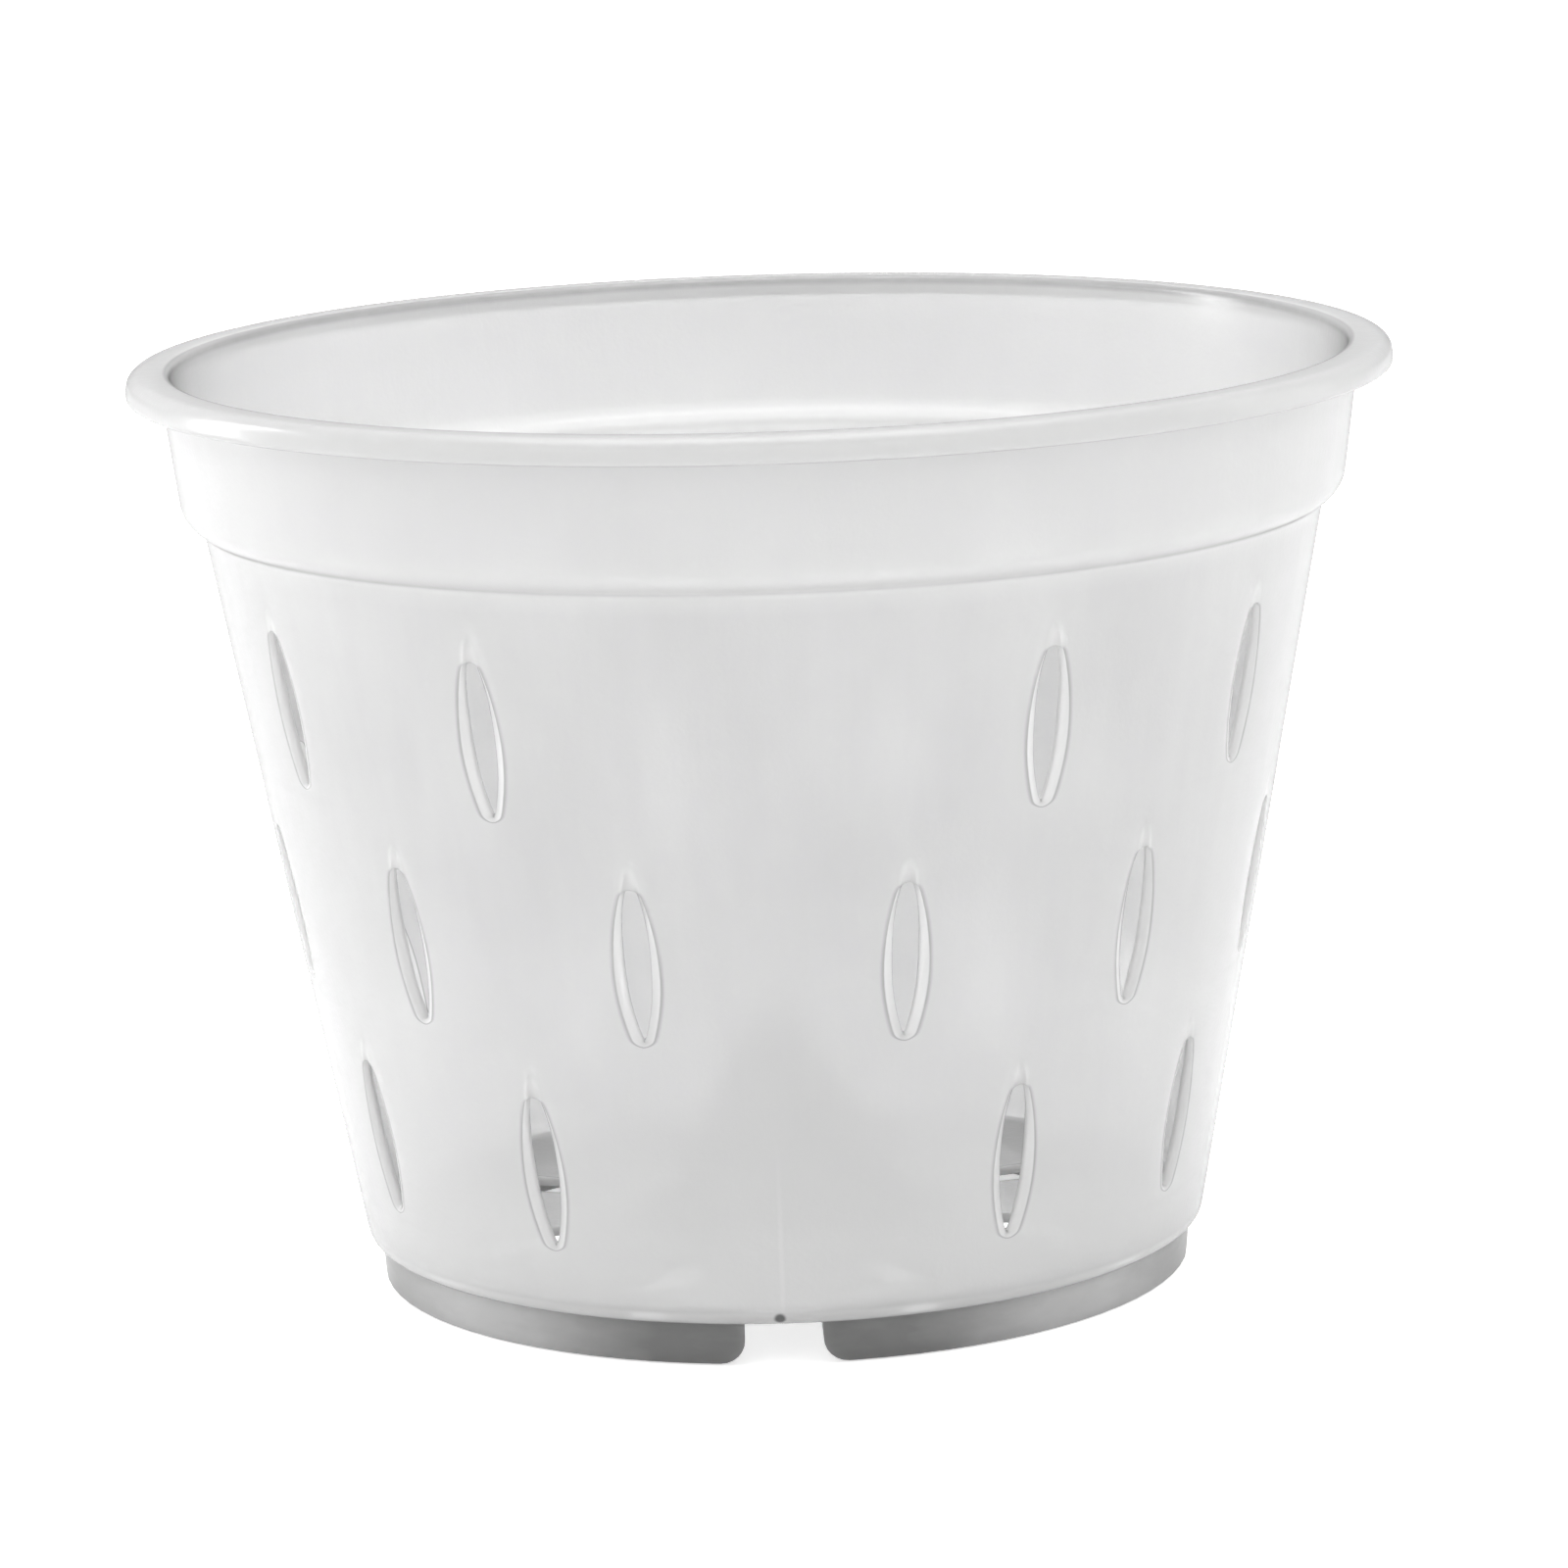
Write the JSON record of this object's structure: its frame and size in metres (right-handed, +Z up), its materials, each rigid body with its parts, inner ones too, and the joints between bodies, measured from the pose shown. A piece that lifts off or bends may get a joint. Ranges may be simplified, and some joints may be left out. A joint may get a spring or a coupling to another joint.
{
  "type": "orchid pot with slots",
  "caption": "Tapered clear plastic orchid pot with slotted walls, rolled lip, stacking collar, notched foot ring and a raised aeration cone in its floor.",
  "frame": {"origin": "on the resting plane under the feet, in the middle of the pot", "axes": "+Z up along the pot's axis, -Y towards the notch that faces the viewer in the picture, +X to the viewer's right"},
  "size_m": [0.153, 0.153, 0.113],
  "materials": {
    "clear_plastic": "milky clear polypropylene, satin moulded surface",
    "foot_plastic": "the same plastic, thicker and in shade, so it reads as grey"
  },
  "bodies": {
    "root": {"rolled_lip": "clear_plastic", "collar": "clear_plastic", "stacking_shoulder": "clear_plastic", "upper_wall": "clear_plastic", "middle_wall": "clear_plastic", "lower_wall": "clear_plastic", "base_edge": "clear_plastic", "floor": "clear_plastic", "aeration_cone": "clear_plastic", "foot_front_left": "foot_plastic", "foot_front_right": "foot_plastic", "foot_back_left": "foot_plastic", "foot_back_right": "foot_plastic"}
  },
  "joints": []
}
